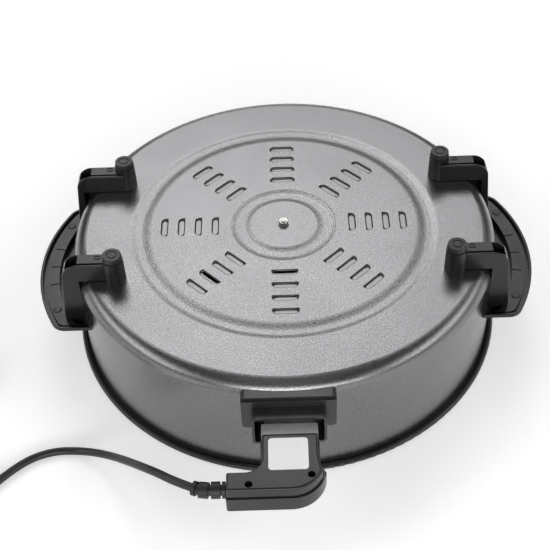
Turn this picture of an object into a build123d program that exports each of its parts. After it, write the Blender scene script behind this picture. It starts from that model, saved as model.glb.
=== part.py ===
from build123d import *
from math import atan2, cos, degrees, hypot, pi, radians, sin, sqrt, tan
import os

# Multicooker pan lying on its rim, feet up, as it is stored and cleaned.
# Millimetres. Origin on the pan's axis in the plane of the rim, +Z towards the feet,
# -Y towards the socket, handles at +X and -X.

# Cooking pan
rim_radius = 210.0
rim_bead_radius = 2.6
rim_inner_round = 1.2
flange_thickness = 2.5
flange_width = 12.5
pan_depth = 62.0
pan_wall = 2.5
pan_wall_taper = 11.5
pan_base = 4.0
pan_corner_radius = 18.0

# Outer shell
shell_thickness = 1.0
shell_edge_inset = 6.5
shell_wall_taper = 1.5
shell_height = 109.8
shell_corner_radius = 13.0
groove_depth = 1.5
groove_round = 1.2
ring_outer_radius = 147.5
ring_width = 19.5
ring_outer_slope = 5.5
ring_inner_slope = 8.0
centre_outer_radius = 50.0
centre_width = 17.0
centre_slope = 2.0

# Slots in the bottom
slot_groups = 8
slot_rows = 4
slot_first_radius = 65.8
slot_row_step = 16.3
slot_length = 25.0
slot_width = 7.0
slot_inner_round = 1.2
slot_outer_round = 4.8

# Baffle under the slots
baffle_margin = 3.5
baffle_thickness = 0.8
baffle_gap = 0.6
baffle_flange = 6.0
dimple_radius = 4.0
dimple_slope = 1.0
window_shift = 3.2

# Heater under the pan
spreader_radius = 150.0
spreader_thickness = 3.0
element_radius = 118.0
element_tube_radius = 4.0
element_bend = 14.0
terminal_spacing = 30.0
pin_radius = 2.0
pin_length = 20.0
pin_in_hood = 3.0

# Probe guide
probe_radius = 3.0
probe_clearance = 0.08
guide_wall = 0.92
guide_length = 60.0
guide_end_wall = 2.0
shoe_width = 18.0
shoe_length = 26.0
shoe_height = 9.5

# Centre fastening
stud_body_radius = 5.0
thread_radius = 2.5
thread_length = 6.1
washer_radius = 5.4
washer_thickness = 0.9
washer_teeth = 16
tooth_depth = 0.6
nut_across_flats = 8.0
nut_height = 3.2
hole_clearance = 0.2

# Socket in the front wall
socket_width = 81.0
socket_below_axis = 7.0
socket_under_bottom = 6.3
socket_proud = 3.5
socket_corner = 4.0
socket_bead = 2.4
socket_bead_drop = 3.0
socket_bead_proud = 2.2
hood_width = 63.4
hood_wall = 2.2
hood_below_axis = 14.0
hood_above_axis = 20.0
hood_reach = 12.0
hood_corner = 4.0
hood_length = 26.0
opening_clearance = 0.3
block_depth = 20.0
block_clearance = 0.2
block_flange = 2.5
block_flange_rim = 1.6
socket_screw_x = 35.8
socket_screw_above_axis = 9.0
socket_screw_radius = 1.5
socket_screw_length = 7.0
small_head_radius = 2.8
small_head_height = 1.8
head_gap = 0.1

# Handles
handle_reach = 38.5
handle_curve_radius = 158.0
handle_half_width = 85.0
handle_corner = 14.0
handle_lip_top = 65.5
handle_side_height = 3.5
handle_thickness = 11.5
handle_taper = 45.0
handle_lip = 2.4
handle_groove = 3.2
handle_groove_depth = 3.0
handle_panel_drop = 1.5
handle_panel_width = 18.5
handle_floor = 2.5
handle_root_wall = 2.4
handle_edge_round = 0.8
recess_end_wall = 6.5
recess_corner = 6.0
wall_gap = 0.3
slit_length = 9.0
slit_width = 1.3
slit_depth = 2.0
slit_spacing = 24.0

# Legs and feet of the handles
foot_x = 156.0
foot_y = 66.5
leg_y = 62.6
leg_width = 16.0
leg_height = 19.7
leg_rail = 1.8
leg_edge_round = 0.9
leg_end_taper = 2.2
leg_groove = 2.4
leg_groove_depth = 3.2
leg_wall = 1.8
leg_gap = 0.8
leg_reach = 1.0
leg_draft = 7.5
leg_inner_from_rim = 20.0
leg_corner = 15.0
leg_side_wall = 2.5
leg_outer_wall = 4.0
leg_pocket_length = 12.0
leg_pocket_depth = 15.0
leg_hollow_length = 14.0
post_rise = 4.6
foot_top_radius = 9.6
foot_base_radius = 9.9
pad_radius = 8.7
pad_seat = 2.0
pad_proud = 5.4
pad_ring_radius = 3.9
pad_ring_width = 1.2
pad_ring_depth = 1.0
pad_edge_round = 0.7
lug_length = 6.5
lug_width = 4.6
lug_height = 0.7
lug_wall = 1.2
lug_offset = 15.0
lug_shift = 3.4

# Brackets and screws of the handles
boss_from_rim = 9.0
boss_y = 59.0
bracket_width = 11.0
bracket_thickness = 2.0
bracket_drop = 8.0
bracket_bend = 3.0
bracket_leg = 20.0
bracket_clearance = 0.25
bracket_past_boss = 4.2
bracket_cover = 1.5
handle_screw_radius = 2.0
handle_screw_head_radius = 4.0
handle_screw_head_height = 1.8
handle_screw_seat = 1.0
handle_screw_length = 6.8
foot_screw_radius = 1.75
foot_screw_length = 12.0

# Temperature controller plugged into the socket
seam_below_axis = 0.5
case_above_seam = 11.5
case_below_seam = 16.5
neck_below_seam = 9.0
neck_step_length = 4.0
case_wall = 2.4
case_edge_round = 1.0
case_top_round = 2.0
neck_width = 46.6
neck_length = 23.0
lower_margin = 1.5
dial_housing_radius = 28.6
dial_from_neck = 3.0
flare_length = 12.0
arm_length = 52.5
arm_width = 18.0
arm_corner = 2.0
neck_fillet = 14.0
shoulder_round = 0.8
hood_to_case = 9.0
collar_proud = 0.6
nose_depth = 13.0
nose_collar = 10.5
nose_inset = 2.4
nose_corner = 1.5
spigot_length = 5.0
spigot_clearance = 0.1
sleeve_wall = 1.4
sleeve_length = 18.0
sleeve_clearance = 0.1
probe_length = 93.0
probe_tip_gap = 4.0
probe_dome = 1.5
arm_screw_from_end = 18.5
arm_screw_from_dial = 23.0
neck_screw_x = 17.0
neck_screw_from_dial = 15.0
case_screw_recess_radius = 3.25
case_screw_head_radius = 2.7
case_screw_head_height = 2.0
case_screw_sink = 7.0
case_screw_radius = 1.4
case_screw_length = 14.0
case_boss_wall = 1.5

# Thermostat in the controller
base_width = 34.0
base_length = 13.0
base_above_axis = 7.0
base_rest_width = 24.0
blade_width = 8.0
blade_thickness = 0.8
bimetal_drop = 2.8
contact_rise = 2.2
blade_overhang = 8.0
blade_root = 6.0
contact_width = 6.0
contact_radius = 1.4
contact_gap = 0.3
shaft_radius = 3.0
shaft_clearance = 0.05
shaft_flange_radius = 5.5
shaft_flange_height = 1.6
shaft_end_play = 0.2
blade_clearance = 0.3
dial_radius = 23.0
dial_height = 10.0
dial_gap = 0.4
dial_edge_round = 1.2
dial_scallops = 24
scallop_radius = 1.6
scallop_depth = 0.9
dial_hub_depth = 6.0
lens_from_arm_end = 8.5
lens_from_dial = 20.0
lens_radius = 4.0
lens_proud = 1.2
lens_clearance = 0.1
lens_flange = 1.0

# Strain relief
relief_drop = 2.5
relief_from_front = 10.2
relief_straight = 13.5
relief_core_radius = 4.6
relief_clamp_width = 9.6
relief_clamp_height = 13.0
relief_clamp_length = 2.4
relief_ribs = ((1.0, 2.6, 7.0), (5.2, 7.4, 7.1), (14.9, 7.6, 6.8), (24.9, 3.2, 6.2))

# Power cord: the free stretch, then a coil, then a short tail to the plug
cord_radius = 3.6
cord_points = (
    Vector(-80.4, -269.0, 69.4),
    Vector(-95.56, -261.41, 68.06),
    Vector(-112.6, -247.8, 62.3),
    Vector(-128.2, -232.8, 50.5),
    Vector(-142.6, -216.7, 35.9),
    Vector(-158.2, -201.3, 21.9),
    Vector(-175.8, -188.6, 10.8),
    Vector(-194.8, -181.3, 4.4),
    Vector(-215.5, -180.3, 3.7),
    Vector(-236.7, -187.3, 3.8),
    Vector(-256.2, -203.7, 4.2),
    Vector(-274.8, -226.0, 4.9),
    Vector(-292.2, -245.3, 4.9),
)
bend_share = 0.45
coil_outer_radius = 47.3
coil_pitch = 9.1
coil_layer_rise = 8.0
coil_spiral_half_turns = 3
coil_samples = 360
tail_first_run = 16.0
tail_points = (
    Vector(-340.6, -156.0, 15.6),
    Vector(-335.0, -139.6, 19.2),
    Vector(-332.6, -123.2, 19.2),
)
tie_width = 8.0
tie_thickness = 0.9
tie_clearance = 0.35
tie_side_clearance = 0.7
tie_corner = 3.0

# Plug
plug_radius = 19.0
plug_body_length = 16.0
plug_shoulder_length = 13.0
plug_shoulder_radius = 12.0
plug_relief_length = 20.0
plug_relief_radius = 5.0
plug_relief_end_radius = 7.0
plug_pin_radius = 2.4
plug_pin_root_radius = 2.0
plug_pin_step = 0.3
plug_pin_length = 19.0
plug_pin_spacing = 19.0
plug_pin_root = 8.0
plug_earth_width = 8.0
plug_earth_depth = 3.0
plug_face_round = 1.5

# Levels and stations worked out from the sizes above
pan_underside = pan_depth + pan_base
spreader_top = pan_underside + spreader_thickness
axis_z = spreader_top + element_tube_radius
shell_bottom = flange_thickness + shell_height
shell_edge_radius = rim_radius - shell_edge_inset
shell_bottom_radius = shell_edge_radius - shell_wall_taper
sheet_underside = shell_bottom - shell_thickness
socket_front = -shell_edge_radius - socket_proud
hood_front = socket_front - hood_reach
hood_back = hood_front + hood_length
hood_bottom = axis_z - hood_below_axis
hood_top = axis_z + hood_above_axis
block_face = hood_front + block_depth
pin_tip = hood_front + pin_in_hood
leg_end = pin_tip + pin_length
case_seam = axis_z - seam_below_axis
case_top = case_seam + case_above_seam
case_bottom = case_seam - case_below_seam
neck_bottom = case_seam - neck_below_seam
neck_front = hood_front - hood_to_case
nose_tip = hood_front + nose_depth
neck_end = neck_front - neck_length
dial_y = neck_end - dial_from_neck
handle_panel_top = handle_lip_top - handle_panel_drop
handle_bottom = handle_lip_top - handle_thickness
leg_top = shell_bottom + leg_height
leg_underside = shell_bottom + leg_gap
post_top = leg_top + post_rise
leg_inner = rim_radius - leg_inner_from_rim
boss_x = rim_radius + boss_from_rim
boss_angle = degrees(atan2(boss_y, boss_x))
boss_distance = hypot(boss_x, boss_y)
sides = (-1, 1)

os.makedirs("parts", exist_ok=True)


def save(name, shape):
    export_step(shape, f"parts/{name}.step")


def group(shapes):
    return Compound([solid for shape in shapes for solid in shape.solids()])


def face_of(outline, radii, plane=Plane.XZ):
    with BuildSketch(plane) as profile:
        with BuildLine():
            FilletPolyline(*outline, radius=radii, close=True)
        make_face()
    return profile.sketch


def ring_body(outline, radii):
    return revolve(face_of(outline, radii), Axis.Z)


def block(x_from, x_to, y_from, y_to, z_from, z_to):
    centre = ((x_from + x_to) / 2, (y_from + y_to) / 2, (z_from + z_to) / 2)
    return Pos(*centre) * Box(x_to - x_from, y_to - y_from, z_to - z_from)


def upright(x, y, z_from, z_to, radius):
    return Pos(x, y, (z_from + z_to) / 2) * Cylinder(radius, z_to - z_from)


def along_y(x, z, y_from, y_to, radius):
    place = Pos(x, (y_from + y_to) / 2, z) * Rot(90, 0, 0)
    return place * Cylinder(radius, y_to - y_from)


def slab(sketch, z_from, z_to):
    return Pos(0, 0, z_from) * extrude(sketch, z_to - z_from)


def mirrored(shape):
    return mirror(shape, about=Plane.YZ)


# Cooking pan: flange and bead, tapered wall, round corner, flat base
pan_rim_radius = rim_radius - flange_width
pan_base_radius = pan_rim_radius - pan_wall_taper
bead_centre = rim_radius - rim_bead_radius
pan_outline = (
    (0, pan_depth),
    (pan_base_radius, pan_depth),
    (pan_rim_radius, 0),
    (bead_centre, 0),
    (bead_centre, flange_thickness),
    (pan_rim_radius + pan_wall, flange_thickness),
    (pan_base_radius + pan_wall, pan_underside),
    (0, pan_underside),
)
pan_radii = (0, pan_corner_radius, rim_inner_round, 0, 0, 0, pan_corner_radius + pan_wall, 0)
bead = revolve(Plane.XZ * Pos(bead_centre, rim_bead_radius) * Circle(rim_bead_radius), Axis.Z)
cooking_pan = ring_body(pan_outline, pan_radii) + bead
save("cooking_pan", cooking_pan)
pan_form = ring_body(((0, 0),) + pan_outline[3:], (0, 0, 0, 0, pan_radii[6], 0))

# Outer shell: wall, rolled corner, bottom with a sunk ring and a sunk centre ring
groove_steps = (
    (ring_outer_radius, 0),
    (ring_outer_radius - ring_outer_slope, groove_depth),
    (ring_outer_radius - ring_width + ring_inner_slope, groove_depth),
    (ring_outer_radius - ring_width, 0),
    (centre_outer_radius, 0),
    (centre_outer_radius - centre_slope, groove_depth),
    (centre_outer_radius - centre_width + centre_slope, groove_depth),
    (centre_outer_radius - centre_width, 0),
)
shell_hole = thread_radius + hole_clearance


def shell_side(inset):
    bottom = shell_bottom - inset
    side = [(shell_edge_radius - inset, flange_thickness), (shell_bottom_radius - inset, bottom)]
    side += [(radius, bottom - drop) for radius, drop in groove_steps]
    return side + [(shell_hole, bottom)]


def shell_rounds(inset):
    return [0, shell_corner_radius - inset] + [groove_round] * len(groove_steps) + [0]


def wall_form(gap):
    outline = (
        (0, 0),
        (shell_edge_radius + gap, 0),
        (shell_edge_radius + gap, flange_thickness),
        (shell_bottom_radius + gap, shell_bottom),
        (0, shell_bottom),
    )
    return ring_body(outline, (0, 0, 0, shell_corner_radius + gap, 0))


def slot_at(angle, radius, margin, z_from, z_to):
    slot = Rectangle(slot_length + 2 * margin, slot_width + 2 * margin)
    slot = fillet(slot.vertices().group_by(Axis.Y)[0], slot_outer_round + margin)
    slot = fillet(slot.vertices().group_by(Axis.Y)[-1], slot_inner_round + margin)
    place = Rot(0, 0, angle) * Pos(radius, 0, z_from) * Rot(0, 0, 90)
    return place * extrude(slot, z_to - z_from)


shell_outline = shell_side(0) + shell_side(shell_thickness)[::-1]
shell_radii = shell_rounds(0) + shell_rounds(shell_thickness)[::-1]
slot_radii = [slot_first_radius + row * slot_row_step for row in range(slot_rows)]
slot_angles = [index * 360 / slot_groups for index in range(slot_groups)]
slots = [
    slot_at(angle, radius, 0, sheet_underside - shell_thickness, shell_bottom + shell_thickness)
    for angle in slot_angles
    for radius in slot_radii
]
socket_opening = block(
    -hood_width / 2 - opening_clearance,
    hood_width / 2 + opening_clearance,
    -shell_edge_radius - shell_thickness,
    hood_back,
    hood_bottom - opening_clearance,
    hood_top + opening_clearance,
)

# Handle brackets: a leg welded along the pan's wall and a strap out through the shell
bracket_bottom = handle_panel_top - bracket_drop
bracket_top = bracket_bottom + bracket_thickness
strap_end = boss_distance + bracket_past_boss


def pan_wall_radius(z):
    share = (z - flange_thickness) / (pan_underside - flange_thickness)
    return pan_rim_radius + pan_wall - share * pan_wall_taper


bracket_foot = bracket_top - bracket_leg
bracket_outline = (
    (pan_wall_radius(bracket_foot) - bracket_thickness / 2, bracket_foot),
    (pan_wall_radius(bracket_foot) + bracket_thickness, bracket_foot),
    (pan_wall_radius(bracket_bottom) + bracket_thickness, bracket_bottom),
    (strap_end, bracket_bottom),
    (strap_end, bracket_top),
    (pan_wall_radius(bracket_top), bracket_top),
)
bracket_radii = (0, 0, bracket_bend - bracket_thickness, 0, 0, bracket_bend)
bracket_blank = extrude(face_of(bracket_outline, bracket_radii), bracket_width / 2, both=True)
bracket_blank -= pan_form
bracket_blank -= upright(boss_distance, 0, bracket_bottom, bracket_top, handle_screw_radius)
strap_clear = block(
    shell_bottom_radius - shell_corner_radius,
    strap_end + bracket_clearance,
    -bracket_width / 2 - bracket_clearance,
    bracket_width / 2 + bracket_clearance,
    bracket_bottom - bracket_clearance,
    bracket_top + bracket_clearance,
)
bracket_angles = (boss_angle, -boss_angle, 180 - boss_angle, 180 + boss_angle)
save("handle_brackets", group(Rot(0, 0, angle) * bracket_blank for angle in bracket_angles))

# Shell openings: slots, socket, brackets, screws of the feet and of the socket
socket_screw_z = axis_z + socket_screw_above_axis
socket_screw_angle = degrees(atan2(socket_screw_x, shell_edge_radius))
inner_wall_radius = shell_edge_radius - shell_thickness - shell_wall_taper
foot_places = [(x * foot_x, y * foot_y) for x in sides for y in sides]
outer_shell = ring_body(shell_outline, shell_radii) - slots - socket_opening
outer_shell -= [Rot(0, 0, angle) * strap_clear for angle in bracket_angles]
outer_shell -= [
    upright(x, y, sheet_underside - shell_thickness, shell_bottom, foot_screw_radius + hole_clearance)
    for x, y in foot_places
]


def radial_screw(side, grow):
    head = Pos(0, 0, -small_head_height / 2) * Cylinder(small_head_radius, small_head_height)
    shank = Pos(0, 0, socket_screw_length / 2) * Cylinder(socket_screw_radius + grow, socket_screw_length)
    turn = Rot(0, 0, -90 + side * socket_screw_angle)
    start = inner_wall_radius - head_gap
    return turn * Pos(start, 0, socket_screw_z) * Rot(0, 90, 0) * (head + shank)


outer_shell -= [radial_screw(side, hole_clearance) for side in sides]
save("outer_shell", outer_shell)
save("socket_screws", group(radial_screw(side, 0) for side in sides))

# Baffle: ring with turned edges, spot-weld dimples up to the sheet, two windows
baffle_outer = ring_outer_radius - ring_width - baffle_margin
baffle_inner = centre_outer_radius + baffle_margin
baffle_top = sheet_underside - baffle_gap
baffle_plate_bottom = baffle_top - baffle_thickness
baffle_outline = (
    (baffle_inner, baffle_top),
    (baffle_outer, baffle_top),
    (baffle_outer, baffle_top - baffle_flange),
    (baffle_outer - baffle_thickness, baffle_top - baffle_flange),
    (baffle_outer - baffle_thickness, baffle_plate_bottom),
    (baffle_inner + baffle_thickness, baffle_plate_bottom),
    (baffle_inner + baffle_thickness, baffle_top - baffle_flange),
    (baffle_inner, baffle_top - baffle_flange),
)
dimple_distance = (slot_radii[0] + slot_radii[-1]) / 2
dimple = Pos(dimple_distance, 0, baffle_top + baffle_gap / 2)
dimple *= Cone(dimple_radius, dimple_radius - dimple_slope, baffle_gap)
slot_baffle = ring_body(baffle_outline, (0,) * len(baffle_outline))
slot_baffle += [Rot(0, 0, angle + 180 / slot_groups) * dimple for angle in slot_angles]
slot_baffle -= [
    slot_at(angle, radius - window_shift, 0, baffle_plate_bottom, baffle_top)
    for angle, radius in ((slot_angles[5], slot_radii[2]), (slot_angles[6], slot_radii[0]))
]
save("slot_baffle", slot_baffle)

# Heat spreader on the pan's base, with the hole for the stud
heat_spreader = upright(0, 0, pan_underside, spreader_top, spreader_radius)
heat_spreader -= upright(0, 0, pan_underside, spreader_top, stud_body_radius + hole_clearance)
save("heat_spreader", heat_spreader)

# Heating element: an open ring whose two ends turn outwards to the socket
leg_x = terminal_spacing / 2
bend_x = leg_x + element_bend
bend_y = -sqrt((element_radius + element_bend) ** 2 - bend_x**2)
on_ring = element_radius / (element_radius + element_bend)
with BuildLine(Plane.XY.offset(axis_z)) as element_path:
    left_leg = Line((-leg_x, leg_end), (-leg_x, bend_y))
    left_bend = TangentArc(left_leg @ 1, (-bend_x * on_ring, bend_y * on_ring), tangent=left_leg % 1)
    ring = ThreePointArc(left_bend @ 1, (0, element_radius), (bend_x * on_ring, bend_y * on_ring))
    right_bend = TangentArc(ring @ 1, (leg_x, bend_y), tangent=ring % 1)
    Line(right_bend @ 1, (leg_x, leg_end))
element_start = Plane((-leg_x, leg_end, axis_z), z_dir=(0, 1, 0))
heating_element = sweep(element_start * Circle(element_tube_radius), path=element_path.line)
save("heating_element", heating_element)

# Terminal pins, cold ends of the element
pins = [along_y(side * leg_x, axis_z, pin_tip, leg_end, pin_radius) for side in sides]
save("terminal_pins", group(pins))

# Guide tube for the probe, closed at its inner end, and the shoe that holds it on the spreader
guide_bore = probe_radius + probe_clearance
guide_radius = guide_bore + guide_wall
guide_outer_end = block_face - guide_wall
guide_inner_end = guide_outer_end + guide_length
probe_guide = along_y(0, axis_z, guide_outer_end, guide_inner_end, guide_radius)
probe_guide -= along_y(0, axis_z, guide_outer_end, guide_inner_end - guide_end_wall, guide_bore)
save("probe_guide", probe_guide)
probe_shoe = block(
    -shoe_width / 2,
    shoe_width / 2,
    guide_inner_end - shoe_length,
    guide_inner_end,
    spreader_top,
    spreader_top + shoe_height,
)
probe_shoe -= along_y(0, axis_z, guide_inner_end - shoe_length, guide_inner_end, guide_radius)
probe_shoe -= block(-guide_radius, guide_radius, guide_inner_end - shoe_length, guide_inner_end,
                    spreader_top, axis_z)
save("probe_shoe", probe_shoe)

# Centre stud, toothed washer and nut
centre_stud = upright(0, 0, pan_underside, sheet_underside, stud_body_radius)
centre_stud += upright(0, 0, sheet_underside, sheet_underside + thread_length, thread_radius)
save("centre_stud", centre_stud)
washer_top = shell_bottom + washer_thickness
centre_washer = upright(0, 0, shell_bottom, washer_top, washer_radius)
notch = block(washer_radius - tooth_depth, washer_radius + tooth_depth, -tooth_depth, tooth_depth,
              shell_bottom, washer_top)
centre_washer -= [Rot(0, 0, index * 360 / washer_teeth) * notch for index in range(washer_teeth)]
centre_washer -= upright(0, 0, shell_bottom, washer_top, thread_radius)
save("centre_washer", centre_washer)
nut_sketch = RegularPolygon(nut_across_flats / 2, 6, major_radius=False)
centre_nut = slab(nut_sketch, washer_top, washer_top + nut_height)
centre_nut -= upright(0, 0, washer_top, washer_top + nut_height, thread_radius)
save("centre_nut", centre_nut)

# Socket housing: plate on the wall with a bead under its top edge, and a hood through it
hood_height = hood_above_axis + hood_below_axis
hood_middle = (hood_top + hood_bottom) / 2
socket_bottom = axis_z - socket_below_axis
socket_top = shell_bottom - socket_under_bottom
socket_height = socket_top - socket_bottom


def front_rect(width, height, z_middle, corner, y_from, y_to):
    sketch = Plane.XZ.offset(-y_to) * Pos(0, z_middle) * RectangleRounded(width, height, corner)
    return extrude(sketch, y_to - y_from)


socket_middle = (socket_top + socket_bottom) / 2
socket_body = front_rect(socket_width, socket_height, socket_middle, socket_corner,
                         socket_front, hood_back)
bead_z = socket_top - socket_bead_drop - socket_bead / 2
socket_body += front_rect(socket_width, socket_bead, bead_z, socket_bead / 2 - head_gap,
                          socket_front - socket_bead_proud, socket_front + socket_bead_proud)
socket_body -= wall_form(wall_gap)
hood_inner_width = hood_width - 2 * hood_wall
hood_inner_height = hood_height - 2 * hood_wall
hood_inner_corner = hood_corner - hood_wall
socket_body += front_rect(hood_width, hood_height, hood_middle, hood_corner, hood_front, hood_back)
socket_body -= front_rect(hood_inner_width, hood_inner_height, hood_middle, hood_inner_corner,
                          hood_front, hood_back)
socket_body -= [radial_screw(side, 0) for side in sides]
save("socket_housing", socket_body)

# Terminal block: closes the hood's back and holds the element's ends and the guide
block_width = hood_inner_width - 2 * block_clearance
block_height = hood_inner_height - 2 * block_clearance
terminal_block = front_rect(block_width, block_height, hood_middle, hood_inner_corner,
                            block_face, hood_back)
terminal_block += front_rect(hood_width + 2 * block_flange_rim, hood_height + 2 * block_flange_rim,
                             hood_middle, hood_corner, hood_back, hood_back + block_flange)
block_back = hood_back + block_flange
terminal_block -= along_y(0, axis_z, block_face, block_back, guide_radius)
terminal_block -= [
    along_y(side * leg_x, axis_z, leg_end, block_back, element_tube_radius) for side in sides
]
terminal_block -= [
    along_y(side * leg_x, axis_z, block_face, leg_end, pin_radius) for side in sides
]
save("terminal_block", terminal_block)

# Handle: grip with a lip, groove, panel and recess, two L-shaped legs with foot posts
grip_centre_x = shell_edge_radius + handle_reach - handle_curve_radius
grip_inner_x = shell_edge_radius - 3 * shell_corner_radius


def grip_outline(inset, end_inset, corner):
    radius = handle_curve_radius - inset
    half = handle_half_width - end_inset
    end_x = grip_centre_x + sqrt(radius**2 - half**2)
    with BuildSketch() as outline:
        with BuildLine():
            Polyline((end_x, half), (grip_inner_x, half), (grip_inner_x, -half), (end_x, -half))
            ThreePointArc((end_x, -half), (grip_centre_x + radius, 0), (end_x, half))
        make_face()
        fillet(outline.vertices().sort_by(Axis.X)[-2:], corner)
    return outline.sketch


side_bottom = handle_lip_top - handle_side_height
taper_height = side_bottom - handle_bottom
grip = slab(grip_outline(0, 0, handle_corner), side_bottom, handle_lip_top)
grip_top_edges = grip.edges().group_by(Axis.Z)[-1]
grip = fillet(grip_top_edges.filter_by(lambda edge: edge.center().X > shell_edge_radius), handle_edge_round)
under = extrude(grip_outline(0, 0, handle_corner), -taper_height, taper=handle_taper)
grip += Pos(0, 0, side_bottom) * under
grip -= slab(grip_outline(handle_lip, handle_lip, handle_corner - handle_lip),
             handle_panel_top, handle_lip_top)
groove_end = handle_lip + handle_groove
groove = grip_outline(handle_lip, handle_lip, handle_corner - handle_lip)
groove -= grip_outline(groove_end, groove_end, handle_corner - groove_end)
groove_floor = handle_panel_top - handle_groove_depth
grip -= slab(groove, groove_floor, handle_panel_top)
recess_wall_radius = shell_edge_radius + wall_gap + handle_root_wall
recess = grip_outline(handle_panel_width, recess_end_wall, recess_corner)
recess -= Circle(recess_wall_radius)
grip -= slab(recess, handle_bottom + handle_floor, handle_panel_top)
rib_block = block(
    shell_edge_radius,
    boss_distance,
    -bracket_width / 2 - bracket_clearance - handle_root_wall,
    bracket_width / 2 + bracket_clearance + handle_root_wall,
    handle_bottom + handle_floor,
    bracket_top + bracket_clearance + bracket_cover,
)
grip += [Rot(0, 0, side * boss_angle) * rib_block for side in sides]
slit_x = grip_centre_x + handle_curve_radius - handle_panel_width
slit = block(slit_x - slit_width, slit_x + slit_length, -slit_width / 2, slit_width / 2,
             handle_panel_top - slit_depth, handle_panel_top)
slit_turn = degrees(slit_spacing / (handle_curve_radius - handle_panel_width))
slit_centre = Pos(grip_centre_x, 0, 0)
grip -= [
    slit_centre * Rot(0, 0, index * slit_turn) * slit_centre.inverse() * slit for index in (-1, 0, 1)
]

leg_outer_top = shell_bottom_radius + leg_reach
leg_foot_z = handle_bottom + handle_floor / 2
leg_outline = (
    (foot_x, leg_underside),
    (leg_inner, leg_underside),
    (leg_inner, leg_foot_z),
    (leg_outer_top + leg_draft, leg_foot_z),
    (leg_outer_top, leg_top),
    (foot_x, leg_top),
)
leg_half = leg_width / 2
pocket_outer_x = leg_outer_top - leg_wall
pocket_inner_x = pocket_outer_x - leg_pocket_length
hollow_end = pocket_inner_x - leg_wall
rail_edge = leg_rail - leg_half
leg_blank = extrude(face_of(leg_outline, (0, 0, 0, 0, leg_corner, 0)), leg_half, both=True)
leg_blank = fillet(leg_blank.edges().filter_by(Axis.X).group_by(Axis.Z)[-1], leg_edge_round)
leg_blank -= block(foot_x, pocket_outer_x, rail_edge, rail_edge + leg_groove,
                   leg_top - leg_groove_depth, leg_top)
leg_blank -= block(pocket_inner_x, pocket_outer_x, rail_edge, -rail_edge, leg_top - leg_pocket_depth, leg_top)
leg_blank -= block(hollow_end - leg_hollow_length, hollow_end, rail_edge, -rail_edge,
                   leg_underside, leg_top - leg_groove_depth - leg_wall)
lug_place = Pos(foot_x + lug_offset, lug_shift, leg_top)
leg_blank += lug_place * extrude(SlotOverall(lug_length, lug_width), lug_height)
leg_blank -= lug_place * extrude(SlotOverall(lug_length - lug_wall, lug_width - lug_wall), lug_height)
arm_end = Pos(foot_x, 0, (leg_underside + leg_top) / 2)
leg_blank += arm_end * Cone(leg_half, leg_half - leg_end_taper, leg_top - leg_underside)
post = Pos(foot_x, 0, (shell_bottom + post_top) / 2)
post *= Cone(foot_base_radius, foot_top_radius, post_top - shell_bottom)
post -= upright(foot_x, 0, post_top - pad_seat, post_top, pad_radius)
foot_hole = upright(foot_x, 0, shell_bottom, shell_bottom + foot_screw_length, foot_screw_radius)


def leg_on(side):
    body = Pos(0, side * leg_y, 0) * leg_blank
    open_y = side * (leg_y - leg_half)
    wall_y = side * (leg_y + leg_half - leg_side_wall)
    body -= block(leg_inner, leg_outer_top - leg_outer_wall, min(open_y, wall_y), max(open_y, wall_y),
                  handle_lip_top, leg_underside)
    body += Pos(0, side * foot_y, 0) * post
    return body - Pos(0, side * foot_y, 0) * foot_hole


screw_seat = handle_panel_top - handle_screw_seat
right_handle = grip + [leg_on(side) for side in sides]
right_handle -= wall_form(wall_gap)
for side in sides:
    right_handle -= Rot(0, 0, side * boss_angle) * strap_clear
    right_handle -= upright(boss_x, side * boss_y, screw_seat, handle_panel_top,
                            handle_screw_head_radius + hole_clearance)
    right_handle -= upright(boss_x, side * boss_y, screw_seat - handle_screw_length, screw_seat,
                            handle_screw_radius)
save("right_handle", right_handle)
save("left_handle", mirrored(right_handle))

# Screws that hold the grips to their brackets
handle_screw = upright(0, 0, screw_seat - handle_screw_length, screw_seat, handle_screw_radius)
handle_screw += upright(0, 0, screw_seat, screw_seat + handle_screw_head_height,
                        handle_screw_head_radius)
handle_screw = fillet(handle_screw.edges().group_by(Axis.Z)[-1], handle_screw_head_height / 2)
boss_places = [(x * boss_x, y * boss_y) for x in sides for y in sides]
save("handle_screws", group(Pos(x, y, 0) * handle_screw for x, y in boss_places))

# Screws from inside the shell up into the foot posts
foot_screw = upright(0, 0, sheet_underside, shell_bottom + foot_screw_length, foot_screw_radius)
foot_screw += upright(0, 0, sheet_underside - small_head_height, sheet_underside, small_head_radius)
save("foot_screws", group(Pos(x, y, 0) * foot_screw for x, y in foot_places))

# Foot pads: discs with a ring groove, seated in the foot posts
pad_top = post_top + pad_proud
foot_pad = upright(0, 0, post_top - pad_seat, pad_top, pad_radius)
foot_pad = fillet(foot_pad.edges().group_by(Axis.Z)[-1], pad_edge_round)
pad_ring = upright(0, 0, pad_top - pad_ring_depth, pad_top, pad_ring_radius + pad_ring_width)
pad_ring -= upright(0, 0, pad_top - pad_ring_depth, pad_top, pad_ring_radius)
foot_pad -= pad_ring
save("foot_pads", group(Pos(x, y, 0) * foot_pad for x, y in foot_places))

# Controller case: neck, dial housing and side arm, in two halves that meet at the seam
neck_half = neck_width / 2


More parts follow.
